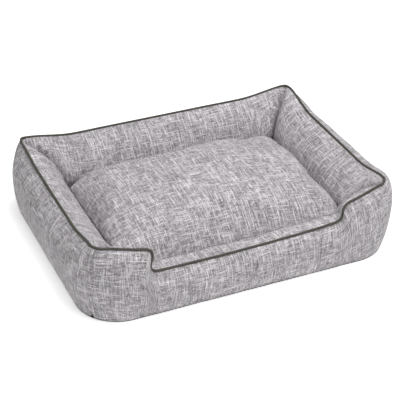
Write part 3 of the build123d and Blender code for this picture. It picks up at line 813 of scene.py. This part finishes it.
# ---------- materials
class Cloth:
    """Material builder over the cloth map, whose two coordinates are metres along the weft and the warp."""

    def __init__(self, name):
        self.material = bpy.data.materials.new(name)
        self.material.use_nodes = True
        self.nodes, self.links = self.material.node_tree.nodes, self.material.node_tree.links
        self.shader = self.nodes["Principled BSDF"]
        self.map = self.nodes.new("ShaderNodeUVMap")
        self.map.uv_map = "cloth"

    def put(self, socket, value):
        """Links a socket or sets a number."""
        if isinstance(value, bpy.types.NodeSocket):
            self.links.new(value, socket)
        else:
            socket.default_value = value

    def noise(self, along, across, seed, detail=2.0, roughness=0.6, source=None):
        """Noise stretched over the cloth, in features per metre along the weft and along the warp."""
        shift = (seed * 7.3, seed * 3.1, seed)
        place = self.mapped(source or self.map.outputs["UV"], Scale=(along, across, 1), Location=shift)
        return self.texture("Noise", place, Scale=1.0, Detail=detail, Roughness=roughness)

    def mapped(self, place, **numbers):
        """Places scaled, shifted or turned."""
        node = self.nodes.new("ShaderNodeMapping")
        for name, number in numbers.items():
            node.inputs[name].default_value = number
        self.links.new(place, node.inputs["Vector"])
        return node.outputs["Vector"]

    def texture(self, kind, place, **numbers):
        """The shade of a texture node over the places that a socket tells."""
        node = self.nodes.new("ShaderNodeTex" + kind)
        for name, number in numbers.items():
            node.inputs[name].default_value = number
        self.links.new(place, node.inputs["Vector"])
        return node.outputs["Fac"]

    def surface(self, **looks):
        """Sets inputs of the shader to sockets or numbers. A low line stands for a space in a name."""
        for name, value in looks.items():
            self.put(self.shader.inputs[name.replace("_", " ")], value)

    def relief(self, height, strength, depth):
        """Bumps on the surface, as high as a socket tells."""
        bump = self.nodes.new("ShaderNodeBump")
        bump.inputs["Strength"].default_value = strength
        bump.inputs["Distance"].default_value = depth
        self.links.new(height, bump.inputs["Height"])
        self.links.new(bump.outputs["Normal"], self.shader.inputs["Normal"])

    def ramp(self, value, low, high, to_low=0.0, to_high=1.0):
        """A smooth step from one number to another as the value goes from low to high."""
        node = self.nodes.new("ShaderNodeMapRange")
        node.interpolation_type = "SMOOTHSTEP"
        for name, number in zip(("From Min", "From Max", "To Min", "To Max"), (low, high, to_low, to_high)):
            node.inputs[name].default_value = number
        self.put(node.inputs["Value"], value)
        return node.outputs["Result"]

    def math(self, operation, a, b):
        """Arithmetic on two sockets or numbers."""
        node = self.nodes.new("ShaderNodeMath")
        node.operation = operation
        self.put(node.inputs[0], a)
        self.put(node.inputs[1], b)
        return node.outputs[0]

    def plus(self, a, share, b):
        """a times a share, plus b."""
        return self.math("ADD", self.math("MULTIPLY", a, share), b)

    def mix(self, factor, a, b, blend_type="MIX"):
        """Colour a at factor 0 and colour b at factor 1."""
        node = self.nodes.new("ShaderNodeMix")
        node.data_type = "RGBA"
        node.blend_type = blend_type
        self.put(node.inputs["Factor"], factor)
        self.put(node.inputs["A"], a)
        self.put(node.inputs["B"], b)
        return node.outputs["Result"]

    def darken(self, base, shade, least):
        """The base colour times a grey that goes from the least at shade 0 to 1 at shade 1."""
        return self.mix(1.0, base, self.mix(shade, neutral(least), neutral(1.0)), "MULTIPLY")


WARM, COOL = (1.0, 0.915, 0.955), (1.0, 0.955, 0.995)  # dark yarns are browner than pale ones


def colour(grey, tint=WARM):
    """A tinted grey."""
    return (grey * tint[0], grey * tint[1], grey * tint[2], 1.0)


def neutral(grey):
    """A grey without a tint."""
    return (grey, grey, grey, 1.0)


YARN_APART, WARP_APART = 7.37, 31.7  # steps through the noise, so that no two yarns look alike
WEAVE = 800.0  # yarns in a metre of linen


def yarns(cloth, source, per_metre, along, seed, detail=1.0):
    """Shade of each weft and each warp yarn, from 0 to 1: every yarn varies by itself along its length."""
    parts = cloth.nodes.new("ShaderNodeSeparateXYZ")
    cloth.links.new(source, parts.inputs["Vector"])
    shades = []
    for run, across, turn in (("X", "Y", 0), ("Y", "X", 1)):
        index = cloth.math("FLOOR", cloth.math("MULTIPLY", parts.outputs[across], per_metre), 0.0)
        place = cloth.nodes.new("ShaderNodeCombineXYZ")
        cloth.put(place.inputs["X"], cloth.math("MULTIPLY", parts.outputs[run], along))
        cloth.put(place.inputs["Y"], cloth.math("MULTIPLY", index, YARN_APART))
        place.inputs["Z"].default_value = seed + turn * WARP_APART
        shades.append(cloth.texture("Noise", place.outputs["Vector"], Scale=1.0, Detail=detail))
    return shades


def linen(name):
    """Heathered slub cloth: grey yarns of uneven shade both ways, with pale slubs and thin dark yarns."""
    cloth = Cloth(name)
    wander = cloth.nodes.new("ShaderNodeVectorMath")  # yarns drift a little, so that no line is ruled
    wander.operation = "MULTIPLY_ADD"
    drift = cloth.nodes.new("ShaderNodeTexNoise")
    drift.inputs["Scale"].default_value = 8.0
    drift.inputs["Detail"].default_value = 1.0
    cloth.links.new(cloth.map.outputs["UV"], drift.inputs["Vector"])
    cloth.links.new(drift.outputs["Color"], wander.inputs[0])
    wander.inputs[1].default_value = (0.0012, 0.0012, 0)
    cloth.links.new(cloth.map.outputs["UV"], wander.inputs[2])
    source = wander.outputs[0]

    over = cloth.texture("Checker", source, Scale=WEAVE)  # over and under of the plain weave
    weft, warp = yarns(cloth, source, WEAVE, 60, 3.0)
    under = cloth.math("MULTIPLY", warp, cloth.math("SUBTRACT", 1.0, over))
    woven_shade = cloth.plus(weft, over, under)
    base = cloth.mix(cloth.ramp(woven_shade, 0.30, 0.66), colour(0.235), colour(0.84, COOL))

    # soft patches, then fine grain
    heather = cloth.ramp(cloth.noise(12, 12, 3, 3.0, 0.65, source), 0.3, 0.7)
    base = cloth.darken(base, heather, 0.86)
    grain = cloth.ramp(cloth.noise(300, 300, 4, 3.0, 0.75, source), 0.34, 0.62)
    base = cloth.darken(base, grain, 0.58)

    # thick yarns, thin dark yarns and pale slubs
    thick = [cloth.ramp(shade, 0.34, 0.66) for shade in yarns(cloth, source, 430, 26, 27.0)]
    for shade in thick:
        base = cloth.darken(base, shade, 0.76)
    dark = [cloth.ramp(shade, 0.38, 0.30) for shade in yarns(cloth, source, 450, 60, 11.0)]
    dark = cloth.math("MAXIMUM", *dark)
    base = cloth.mix(cloth.math("MULTIPLY", dark, 0.5), base, colour(0.10))
    pale = [cloth.ramp(shade, 0.64, 0.74) for shade in yarns(cloth, source, 620, 22, 19.0, 0.0)]
    pale = cloth.math("MAXIMUM", *pale)
    base = cloth.mix(cloth.math("MULTIPLY", pale, 0.44), base, colour(0.97, COOL))
    height = cloth.plus(over, 0.25, cloth.plus(pale, 0.7, woven_shade))
    cloth.relief(height, 0.6, 0.8 * MM)
    cloth.surface(Base_Color=base, Roughness=0.92, Specular_IOR_Level=0.2)
    cloth.surface(Sheen_Weight=0.08, Sheen_Roughness=0.6)
    return cloth.material


def woven(name, dark, light, per_metre, roughness, bump_height, twill=False):
    """Close plain or twill weave over a CAD node, which has no cloth map: object coordinates, in metres."""
    cloth = Cloth(name)
    place = cloth.nodes.new("ShaderNodeTexCoord").outputs["Object"]
    turned = cloth.mapped(place, Rotation=(0, 0, math.radians(45) if twill else 0))
    weave = cloth.texture("Wave" if twill else "Checker", turned, Scale=per_metre)
    fuzz = cloth.texture("Noise", place, Scale=260.0, Detail=4.0)
    wear = cloth.texture("Noise", place, Scale=14.0, Detail=3.0)
    mixed = cloth.plus(wear, 0.5, cloth.plus(weave, 0.35, fuzz))
    base = cloth.mix(cloth.ramp(mixed, 0.5, 1.25), (*dark, 1), (*light, 1))
    cloth.relief(mixed, 0.5, bump_height)
    cloth.surface(Base_Color=base, Roughness=roughness, Sheen_Weight=0.1)
    return cloth.material


def piping_tape(name):
    """Dark bias-cut tape round the cord: a fine twill across its run, with paler worn ridges."""
    cloth = Cloth(name)
    twill = cloth.mapped(cloth.map.outputs["UV"], Rotation=(0, 0, math.radians(38)))
    ribs = cloth.texture("Wave", twill, Scale=260.0, Detail=2.0, Distortion=1.2)
    worn = cloth.noise(30, 200, 4, 3.0)
    mixed = cloth.plus(ribs, 0.5, worn)
    base = cloth.mix(cloth.ramp(mixed, 0.45, 1.15), (0.026, 0.024, 0.018, 1), (0.088, 0.082, 0.062, 1))
    cloth.relief(mixed, 0.5, 0.4 * MM)
    cloth.surface(Base_Color=base, Roughness=0.75, Sheen_Weight=0.05)
    return cloth.material


def painted_zinc(name):
    """Satin grey paint over zinc: fine speckle and an uneven sheen."""
    cloth = Cloth(name)
    place = cloth.nodes.new("ShaderNodeTexCoord").outputs["Object"]
    marks = cloth.texture("Noise", place, Scale=900.0, Detail=4.0)
    base = cloth.mix(marks, (0.22, 0.22, 0.225, 1), (0.42, 0.42, 0.425, 1))
    cloth.surface(Base_Color=base, Roughness=cloth.ramp(marks, 0.3, 0.7, 0.30, 0.48))
    cloth.relief(marks, 0.15, 0.2 * MM)
    return cloth.material


LINEN = linen("linen")
PIPING = piping_tape("piping_tape")
CANVAS = woven("base_canvas", (0.012, 0.012, 0.014), (0.060, 0.058, 0.062), 700.0, 0.85, 0.0004)
DECK = woven("deck_canvas", (0.060, 0.058, 0.060), (0.20, 0.195, 0.20), 600.0, 0.9, 0.0004)
TAPE = woven("zip_tape", (0.10, 0.098, 0.10), (0.26, 0.255, 0.26), 900.0, 0.8, 0.0003, twill=True)
WIRE = woven("zip_nylon", (0.15, 0.148, 0.15), (0.34, 0.335, 0.34), 500.0, 0.38, 0.0001)
METAL = painted_zinc("zip_metal")
THREAD = woven("tack_thread", (0.26, 0.255, 0.255), (0.62, 0.61, 0.61), 1400.0, 0.7, 0.0003, twill=True)

SIDES = ("left", "right", "back", "front")
INNER_PANELS = [f"inner_{side}_panel" for side in SIDES]
ROLES = [  # piece, material, body, material slot, CAD nodes that it stands for
    (walls, LINEN, "bed", "linen_cover", ["outer_wrap_panel", "outer_back_panel"]),
    (lining, LINEN, "bed", "linen_cover", INNER_PANELS),
    (piping, PIPING, "bed", "piping_fabric", ["piping_cover", "piping_cord"]),
    (tacks, THREAD, "bed", "thread", ["corner_tacks"]),
    (cushion_top, LINEN, "cushion", "linen_cover", ["cushion_top_panel", "cushion_fill"]),
    (cushion_low, LINEN, "cushion", "linen_cover", ["cushion_bottom_panel"]),
    (coils[0], WIRE, "cushion", "zip_coil", ["zip_coils"]),
    (coils[1], WIRE, "cushion", "zip_coil", []),
]
for piece, material, body, slot, nodes in ROLES:
    piece.data.materials.append(material)
    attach(piece, body)
    if nodes:
        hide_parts(*nodes)
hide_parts(*[f"{side}_wall_fill" for side in SIDES])

# CAD nodes that stay as they are, each with its material
KEPT = {"bottom_panel": CANVAS, "deck_panel": DECK, "zip_tapes": TAPE, "zip_end_stops": METAL}
KEPT.update({"zip_slider": METAL, "zip_pull": METAL})
for name, material in KEPT.items():
    node = frame["nodes"][name]
    node.data.materials.clear()
    node.data.materials.append(material)


# ---------- camera, light, floor
VIEW_TURN, VIEW_RISE, VIEW_TILT = -24.57, 32.75, 0.86  # degrees: left of the front, above level, tilted
VIEW_TARGET, VIEW_AWAY, VIEW_LENS = Vector((1.7, 0, 77.7)) * MM, 3.473, 116.72
FLOOR_HALF, FLOOR_GREY, FLOOR_GLOW = 6, 0.9, 0.5
SKY_STRENGTH = 0.28
KEY_PLACE, KEY_SIZE, KEY_POWER = (0.3, -0.5, 2.6), (2.2, 2.2), 87


def camera():
    """A long lens from above the front left corner."""
    azimuth, elevation, roll = (math.radians(angle) for angle in (VIEW_TURN, VIEW_RISE, VIEW_TILT))
    level = math.cos(elevation)
    back = Vector((math.sin(azimuth) * level, -math.cos(azimuth) * level, math.sin(elevation)))
    right = Vector((0, 0, 1)).cross(back).normalized()
    up = back.cross(right)
    right, up = right * math.cos(roll) + up * math.sin(roll), up * math.cos(roll) - right * math.sin(roll)
    data = bpy.data.cameras.new("camera")
    data.sensor_width = 36
    data.lens = VIEW_LENS
    data.clip_end = 20
    view = put_in_scene("camera", data)
    place = VIEW_TARGET + back * VIEW_AWAY
    view.matrix_world = Matrix.Translation(place) @ Matrix((right, up, back)).transposed().to_4x4()
    bpy.context.scene.camera = view


def floor():
    """A white floor that glows a little, so that it stays white under the soft shadow."""
    mesh = bpy.data.meshes.new("floor")
    corners = [(x * FLOOR_HALF, y * FLOOR_HALF, 0) for x, y in ((-1, -1), (1, -1), (1, 1), (-1, 1))]
    mesh.from_pydata(corners, [], [(0, 1, 2, 3)])
    piece = put_in_scene("floor", mesh)
    white = Cloth("floor_white")
    white.surface(Base_Color=neutral(FLOOR_GREY), Roughness=0.8)
    white.surface(Emission_Color=neutral(1), Emission_Strength=FLOOR_GLOW)
    mesh.materials.append(white.material)


def area_light(name, place, target, size, power):
    """A rectangular lamp aimed at a target."""
    data = bpy.data.lights.new(name, "AREA")
    data.shape = "RECTANGLE"
    data.size, data.size_y = size
    data.energy = power
    lamp = put_in_scene(name, data)
    lamp.location = place
    aim = Vector(target) - Vector(place)
    lamp.rotation_euler = aim.to_track_quat("-Z", "Y").to_euler()


def world():
    """Even white light from all round."""
    scene = bpy.context.scene
    scene.world = bpy.data.worlds.new("studio")
    scene.world.use_nodes = True
    background = scene.world.node_tree.nodes["Background"]
    background.inputs["Color"].default_value = (1, 1, 1, 1)
    background.inputs["Strength"].default_value = SKY_STRENGTH
    scene.view_settings.view_transform = "Standard"


camera()
floor()
world()
area_light("key", KEY_PLACE, (0, 0, 0), KEY_SIZE, KEY_POWER)
